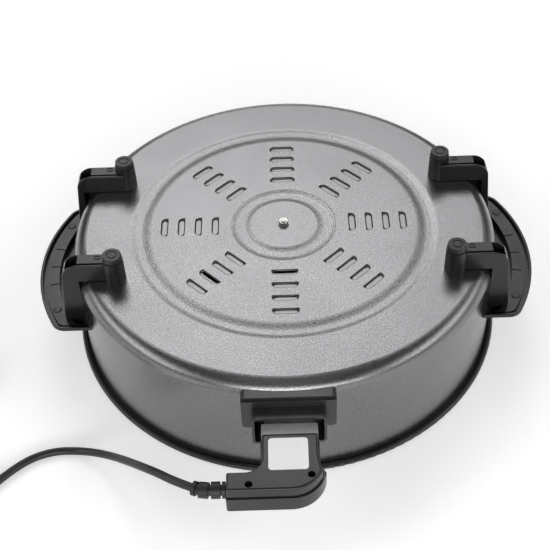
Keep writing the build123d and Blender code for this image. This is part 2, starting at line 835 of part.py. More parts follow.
def case_outline(grow, inset):
    radius = dial_housing_radius + grow - inset
    half = neck_half + grow - inset
    front = dial_y - radius
    arm_x = -arm_length - grow / 2 + inset
    back = dial_y - dial_housing_radius + arm_width - inset
    flare_y = dial_y - flare_length + 4 * grow
    flare_x = sqrt(radius**2 - (dial_y - flare_y) ** 2)
    with BuildSketch() as outline:
        with BuildLine():
            Polyline(
                (flare_x, flare_y),
                (half, neck_end),
                (half, neck_front),
                (-half, neck_front),
                (-half, back),
                (arm_x, back),
                (arm_x, front),
                (0, front),
            )
            turn = (atan2(flare_y - dial_y, flare_x) - pi / 2) / 2
            ThreePointArc(
                (0, front),
                (radius * cos(turn), dial_y + radius * sin(turn)),
                (flare_x, flare_y),
            )
        make_face()
        corners = outline.vertices()
        fillet(corners.sort_by_distance((-half, back))[0], neck_fillet + inset)
        ends = outline.vertices().group_by(Axis.X)[0]
        fillet(ends, max(arm_corner - inset, arm_corner / 4))
    return outline.sketch


upper = slab(case_outline(0, 0), case_seam, case_top)
upper = fillet(upper.edges().group_by(Axis.Z)[-1], case_top_round)
upper -= slab(case_outline(0, case_wall), case_seam, case_top - case_wall)
lower = slab(case_outline(lower_margin, 0), case_bottom, case_seam)
lower = fillet(lower.edges().group_by(Axis.Z)[0], case_edge_round)
lower = fillet(lower.edges().group_by(Axis.Z)[-1], shoulder_round)
neck_step_y = neck_front - neck_step_length
lower -= block(-arm_length, arm_length, neck_step_y, neck_front, case_bottom, neck_bottom)
lower_hollow = slab(case_outline(lower_margin, case_wall), case_bottom + case_wall, case_seam)
lower_hollow -= block(-arm_length, arm_length, neck_step_y - case_wall, neck_front,
                      case_bottom, neck_bottom + case_wall)
lower -= lower_hollow
case_floor = case_bottom + case_wall
case_places = (
    (arm_screw_from_end - arm_length, dial_y - arm_screw_from_dial),
    (neck_screw_x, dial_y - neck_screw_from_dial),
)
head_seat = case_top - case_screw_sink
for x, y in case_places:
    upper += upright(x, y, case_seam, case_top - case_wall, case_screw_recess_radius + case_boss_wall)
    upper -= upright(x, y, head_seat, case_top, case_screw_recess_radius)
    upper -= upright(x, y, case_seam, head_seat, case_screw_radius + hole_clearance)
    lower += upright(x, y, case_floor, case_seam, case_screw_radius + case_boss_wall)
    lower -= upright(x, y, head_seat - case_screw_length, case_seam, case_screw_radius)

# Rest for the thermostat base, holes for dial shaft and lamp lens
base_front = neck_front - spigot_length
base_back = base_front - base_length
base_bottom = neck_bottom + case_wall
lens_x = lens_from_arm_end - arm_length
lens_y = dial_y - lens_from_dial
lower += block(-base_rest_width / 2, base_rest_width / 2, base_back, base_front, case_floor, base_bottom)
lower -= upright(0, dial_y, case_bottom, case_floor, shaft_radius + shaft_clearance)
lower -= upright(lens_x, lens_y, case_bottom, case_floor, lens_radius + lens_clearance)

# Strain relief: clamp block inside the case wall, core along a straight and an arc, ribs round it
relief_y = dial_y - dial_housing_radius + relief_from_front
relief_z = case_seam - relief_drop
relief_root_x = -arm_length + case_wall
relief_root = Vector(relief_root_x, relief_y, relief_z)
relief_bend = Vector(-arm_length - relief_straight, relief_y, relief_z)
with BuildLine() as relief_path:
    relief_line = Line(relief_root, relief_bend)
    TangentArc(relief_bend, cord_points[0], tangent=relief_line % 1)
relief_wire = relief_path.wire()
relief_start = Plane(relief_root, z_dir=(-1, 0, 0))
strain_relief = sweep(relief_start * Circle(relief_core_radius), path=relief_wire)
relief_wall_hole = relief_start * extrude(Circle(relief_core_radius), relief_straight)
upper -= relief_wall_hole
lower -= relief_wall_hole
strain_relief += block(
    relief_root_x,
    relief_root_x + relief_clamp_length,
    relief_y - relief_clamp_width / 2,
    relief_y + relief_clamp_width / 2,
    relief_z - relief_clamp_height / 2,
    relief_z + relief_clamp_height / 2,
)
for rib_from, rib_length, rib_radius in relief_ribs:
    along = case_wall + rib_from + rib_length / 2
    middle = relief_wire.position_at(along, position_mode=PositionMode.LENGTH)
    heading = relief_wire.tangent_at(along, position_mode=PositionMode.LENGTH)
    strain_relief += Plane(middle, z_dir=heading) * Cylinder(rib_radius, rib_length)
save("strain_relief", strain_relief)
save("controller_label_case", upper)
save("controller_dial_case", lower)

# Nose of the controller: collar, insert that enters the hood, spigot inside the neck
case_height = case_top - neck_bottom
case_middle = (case_top + neck_bottom) / 2
nose_width = neck_width + 2 * collar_proud
collar_end = neck_front + nose_collar
nose = front_rect(nose_width, case_height, case_middle, nose_corner, neck_front, collar_end)
nose += front_rect(nose_width - 2 * nose_inset, case_height - 2 * nose_inset, case_middle,
                   nose_corner, collar_end, nose_tip)
spigot_inset = 2 * case_wall + 2 * spigot_clearance
nose += front_rect(neck_width - spigot_inset, case_height - spigot_inset, case_middle,
                   nose_corner, base_front, neck_front)
sleeve_bore = pin_radius + sleeve_clearance
sleeve_end = nose_tip - sleeve_length
nose -= [along_y(side * leg_x, axis_z, sleeve_end, nose_tip, sleeve_bore + sleeve_wall) for side in sides]
nose -= along_y(0, axis_z, base_front, nose_tip, probe_radius)
save("controller_nose", nose)
sleeves = []
for side in sides:
    sleeve = along_y(side * leg_x, axis_z, sleeve_end, nose_tip, sleeve_bore + sleeve_wall)
    sleeves.append(sleeve - along_y(side * leg_x, axis_z, sleeve_end, nose_tip, sleeve_bore))
save("contact_sleeves", group(sleeves))

# Probe rod with a rounded tip
probe_tip = guide_inner_end - guide_end_wall - probe_tip_gap
probe_back = probe_tip - probe_length
probe_rod = along_y(0, axis_z, probe_back, probe_tip, probe_radius)
probe_rod = fillet(probe_rod.edges().group_by(Axis.Y)[-1], probe_dome)
save("probe_rod", probe_rod)

# Case screws, deep in their recesses
case_screw = upright(0, 0, head_seat, head_seat + case_screw_head_height, case_screw_head_radius)
case_screw += upright(0, 0, head_seat - case_screw_length, head_seat, case_screw_radius)
save("case_screws", group(Pos(x, y, 0) * case_screw for x, y in case_places))

# Thermostat: base on its rest, bimetal blade and contact blade held in slots of the base
bimetal_z = axis_z - bimetal_drop
contact_z = axis_z + contact_rise
blade_end = dial_y - blade_overhang
blade_root_y = base_back + blade_root
bimetal_blade = block(-blade_width / 2, blade_width / 2, blade_end, blade_root_y,
                      bimetal_z, bimetal_z + blade_thickness)
contact_blade = block(-contact_width / 2, contact_width / 2, blade_end, blade_root_y,
                      contact_z, contact_z + blade_thickness)
thermostat_base = block(-base_width / 2, base_width / 2, base_back, base_front,
                        base_bottom, axis_z + base_above_axis)
thermostat_base -= [bimetal_blade, contact_blade]
thermostat_base -= along_y(0, axis_z, probe_back, base_front, probe_radius)
contact_blade += upright(0, blade_end + 2 * contact_radius, bimetal_z + blade_thickness + contact_gap,
                         contact_z, contact_radius)
save("thermostat_base", thermostat_base)
save("bimetal_blade", bimetal_blade)
save("contact_blade", contact_blade)

# Dial: shaft with a flange inside the case, scalloped knob outside
dial_top = case_bottom - dial_gap
hub_floor = dial_top - dial_hub_depth
flange_z = case_floor + shaft_end_play
dial_shaft = upright(0, dial_y, hub_floor, bimetal_z - blade_clearance, shaft_radius)
dial_shaft += upright(0, dial_y, flange_z, flange_z + shaft_flange_height, shaft_flange_radius)
save("dial_shaft", dial_shaft)
dial_knob = upright(0, dial_y, dial_top - dial_height, dial_top, dial_radius)
dial_knob = fillet(dial_knob.edges().group_by(Axis.Z)[0], dial_edge_round)
dial_knob -= upright(0, dial_y, hub_floor, dial_top, shaft_radius)
scallop_distance = dial_radius + scallop_radius - scallop_depth
dial_knob -= [
    Pos(0, dial_y, 0) * Rot(0, 0, index * 360 / dial_scallops)
    * upright(scallop_distance, 0, dial_top - dial_height, dial_top, scallop_radius)
    for index in range(dial_scallops)
]
save("dial_knob", dial_knob)

# Pilot lamp lens, held by a flange inside the case
lamp_lens = upright(lens_x, lens_y, case_bottom - lens_proud, case_floor, lens_radius)
lamp_lens = fillet(lamp_lens.edges().group_by(Axis.Z)[0], lens_proud / 2)
lamp_lens += upright(lens_x, lens_y, case_floor, case_floor + lens_flange, lens_radius + lens_flange)
save("pilot_lamp_lens", lamp_lens)


# Power cord, as straight runs joined by arcs
def bend_radii(points):
    radii = []
    for before, corner, after in zip(points, points[1:], points[2:]):
        run_in = corner - before
        run_out = after - corner
        half_turn = radians(run_in.get_angle(run_out)) / 2
        radii.append(bend_share * min(run_in.length, run_out.length) / tan(half_turn))
    return radii


def cord_tube(points):
    radii = bend_radii(points)
    path = FilletPolyline(*points, radius=radii)
    tube = sweep(Plane(points[0], z_dir=points[1] - points[0]) * Circle(cord_radius), path=path)
    expected = pi * cord_radius**2 * path.length
    print("cord radii", [round(radius, 1) for radius in radii])
    print("cord length", round(path.length, 1), "volume over section x length",
          round(tube.volume / expected, 4))
    return tube


save("cord_stretch", cord_tube(cord_points))

# Coil: spirals in on the lower layer, climbs in one half turn, spirals out on the upper layer
coil_heading = (cord_points[-1] - cord_points[-2]).normalized()
coil_side = Vector(-coil_heading.Y, coil_heading.X, 0)
coil_centre = cord_points[-1] - coil_side * coil_outer_radius
inward = [coil_outer_radius - index * coil_pitch / 2 for index in range(coil_spiral_half_turns + 1)]
stations = inward + inward[::-1]
levels = [0.0] * len(inward) + [coil_layer_rise] * len(inward)


def coil_point(index):
    side = (-1) ** index
    return coil_centre + coil_side * side * stations[index] + Vector(0, 0, levels[index])


with BuildLine() as coil_path:
    for index in range(len(stations) - 1):
        turn_start = coil_point(index)
        turn_end = coil_point(index + 1)
        heading = coil_heading * (-1) ** index
        rise = (turn_end.Z - turn_start.Z) / 2
        reach = sqrt(((stations[index] + stations[index + 1]) / 2) ** 2 + rise**2)
        middle = (turn_start + turn_end) * 0.5 + heading * reach
        if rise:
            first_half = TangentArc(turn_start, middle, tangent=heading)
            TangentArc(middle, turn_end, tangent=first_half % 1)
        else:
            ThreePointArc(turn_start, middle, turn_end)
coil_wire = coil_path.wire()
cord_coil = sweep(Plane(cord_points[-1], z_dir=coil_heading) * Circle(cord_radius), path=coil_wire)
save("cord_coil", cord_coil)
coil_volume = pi * cord_radius**2 * coil_wire.length
print("coil length", round(coil_wire.length, 1), "volume over section x length",
      round(cord_coil.volume / coil_volume, 4))
sample_step = coil_wire.length / coil_samples
samples = [coil_wire.position_at(index / coil_samples) for index in range(coil_samples + 1)]
apart = int(coil_outer_radius / sample_step)
least = min(
    (samples[first] - samples[second]).length
    for first in range(coil_samples)
    for second in range(first + apart, coil_samples + 1)
)
print("coil least gap to itself", round(least - 2 * cord_radius, 2))

# Tail from the coil to the plug
coil_end = coil_point(len(stations) - 1)
tail_route = (coil_end, coil_end - coil_heading * tail_first_run) + tail_points
save("cord_tail", cord_tube(tail_route))

# Tie band round the bundle of four turns
bundle_width = coil_pitch + 2 * cord_radius + 2 * tie_side_clearance
bundle_height = coil_layer_rise + 2 * cord_radius + 2 * tie_clearance
bundle_middle = coil_centre + coil_heading * (coil_outer_radius - 0.75 * coil_pitch)
tie_plane = Plane(bundle_middle + Vector(0, 0, coil_layer_rise / 2), x_dir=coil_heading,
                  z_dir=coil_side)
tie_sketch = RectangleRounded(bundle_width + 2 * tie_thickness, bundle_height + 2 * tie_thickness,
                              tie_corner)
tie_sketch -= RectangleRounded(bundle_width, bundle_height, tie_corner - tie_thickness)
save("cord_tie", extrude(tie_plane * tie_sketch, tie_width / 2, both=True))

# Plug: relief cone, shoulder and round body with earth flats, two pins
plug_axis = (tail_points[-1] - tail_points[-2]).normalized()
plug_plane = Plane(tail_points[-1], x_dir=(plug_axis.Y, -plug_axis.X, 0), z_dir=plug_axis)
shoulder_z = plug_relief_length + plug_shoulder_length
face_z = shoulder_z + plug_body_length
plug_outline = (
    (0, 0),
    (plug_relief_radius, 0),
    (plug_relief_end_radius, plug_relief_length),
    (plug_shoulder_radius, plug_relief_length),
    (plug_radius, shoulder_z),
    (plug_radius, face_z),
    (0, face_z),
)
plug_body = ring_body(plug_outline, (0, 0, 0, plug_face_round, 3 * plug_face_round, plug_face_round, 0))
for side in sides:
    plug_body -= block(-plug_earth_width / 2, plug_earth_width / 2,
                       side * plug_radius - plug_earth_depth, side * plug_radius + plug_earth_depth,
                       shoulder_z, face_z)
    plug_body -= upright(side * plug_pin_spacing / 2, 0, face_z - plug_pin_root, face_z,
                         plug_pin_root_radius)
save("plug_body", plug_plane * plug_body)
plug_pin = upright(0, 0, face_z + plug_pin_step, face_z + plug_pin_length, plug_pin_radius)
plug_pin = fillet(plug_pin.edges().group_by(Axis.Z)[-1], plug_pin_radius / 2)
plug_pin += upright(0, 0, face_z - plug_pin_root, face_z + plug_pin_step, plug_pin_root_radius)
save("plug_pins", group(plug_plane * Pos(side * plug_pin_spacing / 2, 0, 0) * plug_pin for side in sides))
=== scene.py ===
import math

import bpy
from mathutils import Matrix, Vector


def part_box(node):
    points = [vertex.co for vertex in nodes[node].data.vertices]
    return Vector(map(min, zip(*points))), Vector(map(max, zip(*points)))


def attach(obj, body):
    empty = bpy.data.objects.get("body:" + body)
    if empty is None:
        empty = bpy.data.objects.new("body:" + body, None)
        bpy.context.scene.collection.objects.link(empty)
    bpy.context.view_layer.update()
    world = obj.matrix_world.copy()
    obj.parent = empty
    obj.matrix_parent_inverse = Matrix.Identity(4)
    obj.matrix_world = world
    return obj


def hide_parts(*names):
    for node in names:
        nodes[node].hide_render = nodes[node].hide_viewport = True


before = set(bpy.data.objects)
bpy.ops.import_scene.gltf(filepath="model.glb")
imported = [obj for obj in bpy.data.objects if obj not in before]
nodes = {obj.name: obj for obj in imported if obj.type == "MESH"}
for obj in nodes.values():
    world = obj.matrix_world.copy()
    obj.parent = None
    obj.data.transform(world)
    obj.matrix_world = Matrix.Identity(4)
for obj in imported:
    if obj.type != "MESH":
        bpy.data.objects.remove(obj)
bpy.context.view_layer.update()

# Levels read from the solids. All sizes here are in metres
case_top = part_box("controller_label_case")[1].z
shell_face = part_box("outer_shell")[1].z

# Camera at the photograph's viewpoint: angles in degrees, lens and sensor in millimetres
camera_yaw = -1.059
camera_pitch = 45.085
camera_roll = -2.570
camera_place = (0.003925, -0.776515, 0.821699)
camera_lens = 71.47
camera_sensor = 36

# Hammered paint: height of its blobs, and roughness where it is smooth and where it is dull
paint_relief = 0.00004
smooth_paint = 0.19
dull_paint = 0.23

# Pressed rings, by distance from the middle: where each shoulder starts and ends, and its rise.
# The straight shoulders cancel the sharp ones of the sheet, and the smooth ones replace them
ring_shoulders = (
    ("LINEAR", 0.1280, 0.1360, 0.0015),
    ("LINEAR", 0.1420, 0.1475, -0.0015),
    ("LINEAR", 0.0330, 0.0350, 0.0015),
    ("LINEAR", 0.0480, 0.0500, -0.0015),
    ("SMOOTHSTEP", 0.1270, 0.1375, -0.0009),
    ("SMOOTHSTEP", 0.1405, 0.1485, 0.0009),
    ("SMOOTHSTEP", 0.0320, 0.0395, -0.0006),
    ("SMOOTHSTEP", 0.0435, 0.0510, 0.0006),
)

# Slots of the shell: groups all round, rows from the middle outwards
slot_groups = 8
slot_rows = 4
first_slot_radius = 0.0658
slot_row_pitch = 0.0163
slot_width = 0.007
slot_length = 0.025
outer_slot_corner = 0.0048
inner_slot_corner = 0.0012

# Rim of a slot: radius of the roll, the angles it turns through, the sheet's thickness, and how
# near to the slot's end a corner lies
rim_roll = 0.0011
rim_angles = (0, 30, 60, 90)
rim_sheet = 0.0003
edge_tolerance = 0.0001

# Bare plate on the controller
plate_place = (-0.0015, -0.24825)
plate_size = (0.033, 0.0315)
plate_corner = 0.003
plate_thickness = 0.0003
plate_lift = 0.00002

# Power cord: its diameter, then the stretch that shows and the tail to the plug, both
# in millimetres
cord_diameter = 0.0072
cord_stretch = (
    (-80.4, -269.0, 69.4),
    (-95.56, -261.41, 68.06),
    (-112.6, -247.8, 62.3),
    (-128.2, -232.8, 50.5),
    (-142.6, -216.7, 35.9),
    (-158.2, -201.3, 21.9),
    (-175.8, -188.6, 10.8),
    (-194.8, -181.3, 4.4),
    (-215.5, -180.3, 3.7),
    (-236.7, -187.3, 3.8),
    (-256.2, -203.7, 4.2),
    (-274.8, -226.0, 4.9),
    (-292.2, -245.3, 4.9),
)
cord_tail = (
    (-340.6, -156.0, 15.6),
    (-335.0, -139.6, 19.2),
    (-332.6, -123.2, 19.2),
)

# Coil of the cord between them: a layer that winds inwards and one on it that winds outwards
coil_radius = 0.0473
coil_pitch = 0.0091
coil_layer_rise = 0.008
coil_half_turns = 3
coil_steps = 8
coil_lead_out = 0.016

# Floor, and its own glow where it is seen
floor_size = 40
floor_glow = 0.31

# Room's light, from the horizon to overhead, and from the left side to the right
room_strength = 3.6
room_tilt = -12
light_by_height = ((0.0, 0.36), (0.07, 0.22), (0.16, 0.10), (0.34, 0.12), (0.45, 1.0),
                   (0.66, 1.0), (0.75, 0.12), (1.0, 0.10))
light_by_side = ((0.0, 0.95), (0.10, 0.85), (0.20, 0.15), (0.32, 0.15), (0.40, 1.0), (0.48, 1.0),
                 (0.59, 0.76), (0.65, 0.15), (0.79, 0.15), (0.90, 0.80), (1.0, 0.90))


def deselect():
    if bpy.context.object and bpy.context.object.mode != "OBJECT":
        bpy.ops.object.mode_set(mode="OBJECT")
    bpy.ops.object.select_all(action="DESELECT")


def pick(piece):
    deselect()
    piece.select_set(True)
    bpy.context.view_layer.objects.active = piece


def settle(piece):
    pick(piece)
    bpy.ops.object.transform_apply(location=True, rotation=True, scale=True)


def set_camera():
    yaw = math.radians(camera_yaw)
    pitch = math.radians(camera_pitch)
    roll = math.radians(camera_roll)
    ahead = Vector((math.sin(yaw) * math.cos(pitch), math.cos(yaw) * math.cos(pitch),
                    -math.sin(pitch)))
    level = Vector((math.cos(yaw), -math.sin(yaw), 0))
    upward = level.cross(ahead)
    right = level * math.cos(roll) + upward * math.sin(roll)
    top = right.cross(ahead)
    lens = bpy.data.cameras.new("photo_camera")
    lens.lens = camera_lens
    lens.sensor_width = camera_sensor
    camera = bpy.data.objects.new("photo_camera", lens)
    bpy.context.scene.collection.objects.link(camera)
    turn = Matrix((right, top, -ahead)).transposed()
    camera.matrix_world = Matrix.Translation(camera_place) @ turn.to_4x4()
    bpy.context.scene.camera = camera


def link(tree, source, target):
    tree.links.new(source, target)


# Textures shared by several materials, each as a group with its scale as the only input
def new_group(name, scale, outputs):
    group = bpy.data.node_groups.new(name, "ShaderNodeTree")
    socket = group.interface.new_socket(scale, in_out="INPUT", socket_type="NodeSocketFloat")
    socket.default_value = 1000.0
    for label in outputs:
        group.interface.new_socket(label, in_out="OUTPUT", socket_type="NodeSocketFloat")
    given = group.nodes.new("NodeGroupInput")
    place = group.nodes.new("ShaderNodeTexCoord")
    stretch = group.nodes.new("ShaderNodeVectorMath")
    stretch.operation = "SCALE"
    link(group, place.outputs["Object"], stretch.inputs[0])
    link(group, given.outputs[scale], stretch.inputs["Scale"])
    return group, stretch.outputs["Vector"], group.nodes.new("NodeGroupOutput")


def noise(group, vector, scale, detail, roughness=0.5):
    texture = group.nodes.new("ShaderNodeTexNoise")
    texture.inputs["Scale"].default_value = scale
    texture.inputs["Detail"].default_value = detail
    texture.inputs["Roughness"].default_value = roughness
    link(group, vector, texture.inputs["Vector"])
    return texture.outputs["Fac"]


def spread(group, value, low, high):
    ramp = group.nodes.new("ShaderNodeMapRange")
    ramp.interpolation_type = "SMOOTHSTEP"
    ramp.inputs["From Min"].default_value = low
    ramp.inputs["From Max"].default_value = high
    link(group, value, ramp.inputs["Value"])
    return ramp.outputs["Result"]


# Hammered paint: small raised blobs of lighter grey in a darker ground
def hammered_group():
    group, place, result = new_group("hammered_paint", "Blobs per metre", ("Blobs", "Clouds"))
    fine = noise(group, place, 1.0, 3.0, 0.6)
    link(group, spread(group, fine, 0.38, 0.62), result.inputs["Blobs"])
    wide = noise(group, place, 0.018, 2.0)
    link(group, spread(group, wide, 0.35, 0.65), result.inputs["Clouds"])
    return group


# Moulded grain: the fine matt texture of a plastic moulding, with faint rubbed clouds
def moulded_group():
    group, place, result = new_group("moulded_grain", "Grains per metre", ("Grain", "Rubbed"))
    link(group, noise(group, place, 1.0, 2.0), result.inputs["Grain"])
    wide = noise(group, place, 0.02, 3.0)
    link(group, spread(group, wide, 0.35, 0.7), result.inputs["Rubbed"])
    return group


# Drawn metal: streaks along one direction of the piece
def streaks_group():
    group, place, result = new_group("drawn_streaks", "Streaks per metre", ("Streaks",))
    squeeze = group.nodes.new("ShaderNodeMapping")
    squeeze.inputs["Scale"].default_value = (1.0, 0.06, 1.0)
    link(group, place, squeeze.inputs["Vector"])
    link(group, noise(group, squeeze.outputs["Vector"], 1.0, 3.0), result.inputs["Streaks"])
    return group


hammered = hammered_group()
moulded = moulded_group()
drawn = streaks_group()


def new_material(name, colour, roughness, metallic=0.0):
    material = bpy.data.materials.new(name)
    material.use_nodes = True
    shader = material.node_tree.nodes["Principled BSDF"]
    shader.inputs["Base Color"].default_value = (*colour, 1.0)
    shader.inputs["Roughness"].default_value = roughness
    shader.inputs["Metallic"].default_value = metallic
    return material, material.node_tree, shader


def place_group(tree, group, scale):
    node = tree.nodes.new("ShaderNodeGroup")
    node.node_tree = group
    node.inputs[0].default_value = scale
    return node


def vary_colour(tree, shader, factor, first, second):
    mix = tree.nodes.new("ShaderNodeMix")
    mix.data_type = "RGBA"
    mix.inputs["A"].default_value = (*first, 1.0)
    mix.inputs["B"].default_value = (*second, 1.0)
    link(tree, factor, mix.inputs["Factor"])
    link(tree, mix.outputs["Result"], shader.inputs["Base Color"])


def vary_roughness(tree, shader, factor, first, second):
    ramp = tree.nodes.new("ShaderNodeMapRange")
    ramp.inputs["To Min"].default_value = first
    ramp.inputs["To Max"].default_value = second
    link(tree, factor, ramp.inputs["Value"])
    link(tree, ramp.outputs["Result"], shader.inputs["Roughness"])


def bumps(tree, shader, height, distance):
    bump = tree.nodes.new("ShaderNodeBump")
    bump.inputs["Strength"].default_value = 1.0
    bump.inputs["Distance"].default_value = distance
    link(tree, height, bump.inputs["Height"])
    link(tree, bump.outputs["Normal"], shader.inputs["Normal"])


# Height in metres that gives the pressed rings their soft shoulders
def soften_rings(tree):
    place = tree.nodes.new("ShaderNodeTexCoord")
    flat = tree.nodes.new("ShaderNodeVectorMath")
    flat.operation = "MULTIPLY"
    flat.inputs[1].default_value = (1, 1, 0)
    link(tree, place.outputs["Object"], flat.inputs[0])
    reach = tree.nodes.new("ShaderNodeVectorMath")
    reach.operation = "LENGTH"
    link(tree, flat.outputs["Vector"], reach.inputs[0])
    height = None
    for kind, start, end, rise in ring_shoulders:
        step = tree.nodes.new("ShaderNodeMapRange")
        step.interpolation_type = kind
        step.inputs["From Min"].default_value = start
        step.inputs["From Max"].default_value = end
        step.inputs["To Max"].default_value = rise
        link(tree, reach.outputs["Value"], step.inputs["Value"])
        if height is None:
            height = step.outputs["Result"]
            continue
        total = tree.nodes.new("ShaderNodeMath")
        total.operation = "ADD"
        link(tree, height, total.inputs[0])
        link(tree, step.outputs["Result"], total.inputs[1])
        height = total.outputs[0]
    return height


def hammered_paint(name, dark, light, blobs):
    material, tree, shader = new_material(name, light, dull_paint, metallic=0.92)
    paint = place_group(tree, hammered, blobs)
    relief = tree.nodes.new("ShaderNodeMath")
    relief.operation = "MULTIPLY_ADD"
    relief.inputs[1].default_value = paint_relief
    link(tree, paint.outputs["Blobs"], relief.inputs[0])
    link(tree, soften_rings(tree), relief.inputs[2])
    vary_colour(tree, shader, paint.outputs["Blobs"], dark, light)
    vary_roughness(tree, shader, paint.outputs["Clouds"], smooth_paint, dull_paint)
    bumps(tree, shader, relief.outputs[0], 1.0)
    return material


def moulding(name, colour, rubbed, roughness, grains=1400.0, depth=0.00006, shine=0.5):
    material, tree, shader = new_material(name, colour, roughness)
    shader.inputs["Specular IOR Level"].default_value = shine
    grain = place_group(tree, moulded, grains)
    vary_colour(tree, shader, grain.outputs["Rubbed"], colour, rubbed)
    vary_roughness(tree, shader, grain.outputs["Rubbed"], roughness, roughness * 0.86)
    bumps(tree, shader, grain.outputs["Grain"], depth)
    return material


def drawn_metal(name, bright, dull, roughness, streaks=900.0):
    material, tree, shader = new_material(name, bright, roughness, metallic=1.0)
    lines = place_group(tree, drawn, streaks)
    vary_colour(tree, shader, lines.outputs["Streaks"], dull, bright)
    vary_roughness(tree, shader, lines.outputs["Streaks"], roughness * 1.3, roughness * 0.8)
    bumps(tree, shader, lines.outputs["Streaks"], 0.00002)
    return material


def tinted_lens(name, colour, cloudy, roughness):
    material, tree, shader = new_material(name, colour, roughness)
    shader.inputs["Transmission Weight"].default_value = 0.5
    shader.inputs["IOR"].default_value = 1.49
    grain = place_group(tree, moulded, 900.0)
    vary_colour(tree, shader, grain.outputs["Rubbed"], colour, cloudy)
    bumps(tree, shader, grain.outputs["Grain"], 0.00002)
    return material


# Finishes of the pieces: two tones each, and then their roughness
shell_paint = hammered_paint("hammered_shell_paint", (0.160, 0.162, 0.166), (0.220, 0.222, 0.226),
                             blobs=820.0)
# Slot rims: the shell's hammered paint made much darker, as painted shade along the slot edges
rim_shade_paint = hammered_paint("slot_rim_shade_paint", (0.055, 0.056, 0.058), (0.085, 0.086, 0.088),
                           blobs=760.0)
baffle_sheet = drawn_metal("baffle_sheet", (0.27, 0.274, 0.278), (0.225, 0.228, 0.232), 0.36)
pan_coating = moulding("pan_coating", (0.016, 0.016, 0.017), (0.024, 0.024, 0.025),
                       0.42, grains=1100.0)
handle_plastic = moulding("handle_plastic", (0.008, 0.0082, 0.009), (0.014, 0.0142, 0.015),
                          0.30, shine=0.42)
socket_plastic = moulding("socket_plastic", (0.018, 0.0182, 0.019), (0.027, 0.0272, 0.028), 0.32)
case_plastic = moulding("case_plastic", (0.008, 0.0082, 0.009), (0.013, 0.0132, 0.014),
                        0.26, shine=0.45)
nose_plastic = moulding("nose_plastic", (0.24, 0.24, 0.242), (0.29, 0.29, 0.292), 0.5)
dial_plastic = moulding("dial_plastic", (0.020, 0.020, 0.021), (0.032, 0.032, 0.033), 0.38)
block_plastic = moulding("block_plastic", (0.060, 0.054, 0.046), (0.080, 0.073, 0.062),
                         0.55, grains=900.0)
zinc_steel = drawn_metal("zinc_steel", (0.36, 0.356, 0.345), (0.27, 0.266, 0.256),
                         0.24, streaks=1400.0)
black_steel = drawn_metal("blackened_steel", (0.06, 0.06, 0.062), (0.035, 0.035, 0.036),
                          0.34, streaks=1400.0)
bare_aluminium = drawn_metal("bare_aluminium", (0.74, 0.74, 0.75), (0.6, 0.6, 0.61),
                             0.4, streaks=600.0)
sheath_steel = drawn_metal("sheath_steel", (0.42, 0.40, 0.37), (0.3, 0.28, 0.26),
                           0.38, streaks=700.0)
probe_steel = drawn_metal("probe_steel", (0.72, 0.72, 0.72), (0.6, 0.6, 0.6), 0.22, streaks=1200.0)
nickel = drawn_metal("nickel", (0.78, 0.76, 0.72), (0.66, 0.64, 0.6), 0.2, streaks=1500.0)
contact_brass = drawn_metal("contact_brass", (0.74, 0.56, 0.27), (0.6, 0.44, 0.2),
                            0.28, streaks=1200.0)
foot_rubber = moulding("foot_rubber", (0.011, 0.011, 0.0115), (0.019, 0.019, 0.0195),
                       0.42, grains=1700.0)
relief_rubber = moulding("relief_rubber", (0.008, 0.008, 0.009), (0.013, 0.013, 0.014),
                         0.5, grains=1500.0)
cord_rubber = moulding("cord_rubber", (0.008, 0.008, 0.009), (0.013, 0.013, 0.014),
                       0.42, grains=1500.0)
tie_plastic = moulding("tie_plastic", (0.018, 0.018, 0.018), (0.028, 0.028, 0.028),
                       0.45, grains=1600.0)
plug_plastic = moulding("plug_plastic", (0.018, 0.018, 0.019), (0.028, 0.028, 0.029), 0.42)
plate_film = moulding("bare_plate", (0.80, 0.80, 0.795), (0.84, 0.84, 0.835),
                      0.34, grains=700.0, depth=0.00002)
amber_lens = tinted_lens("amber_lens", (0.62, 0.12, 0.03), (0.66, 0.16, 0.04), 0.16)

finishes = {
    shell_paint: ["outer_shell"],
    pan_coating: ["cooking_pan"],
    handle_plastic: ["left_handle", "right_handle"],
    socket_plastic: ["socket_housing"],
    case_plastic: ["controller_label_case", "controller_dial_case"],
    nose_plastic: ["controller_nose"],
    dial_plastic: ["dial_knob", "dial_shaft"],
    block_plastic: ["terminal_block", "thermostat_base"],
    zinc_steel: ["handle_brackets", "foot_screws", "centre_stud", "centre_washer", "centre_nut",
                 "socket_screws"],
    black_steel: ["handle_screws", "case_screws"],
    baffle_sheet: ["slot_baffle"],
    bare_aluminium: ["heat_spreader", "probe_shoe"],
    sheath_steel: ["heating_element", "probe_guide"],
    probe_steel: ["probe_rod"],
    nickel: ["terminal_pins", "plug_pins"],
    contact_brass: ["contact_sleeves", "bimetal_blade", "contact_blade"],
    foot_rubber: ["foot_pads"],
    relief_rubber: ["strain_relief"],
    tie_plastic: ["cord_tie"],
    plug_plastic: ["plug_body"],
    amber_lens: ["pilot_lamp_lens"],
    cord_rubber: ["cord_stretch", "cord_coil", "cord_tail"],
}
for finish, names in finishes.items():
    for name in names:
        nodes[name].data.materials.clear()
        nodes[name].data.materials.append(finish)


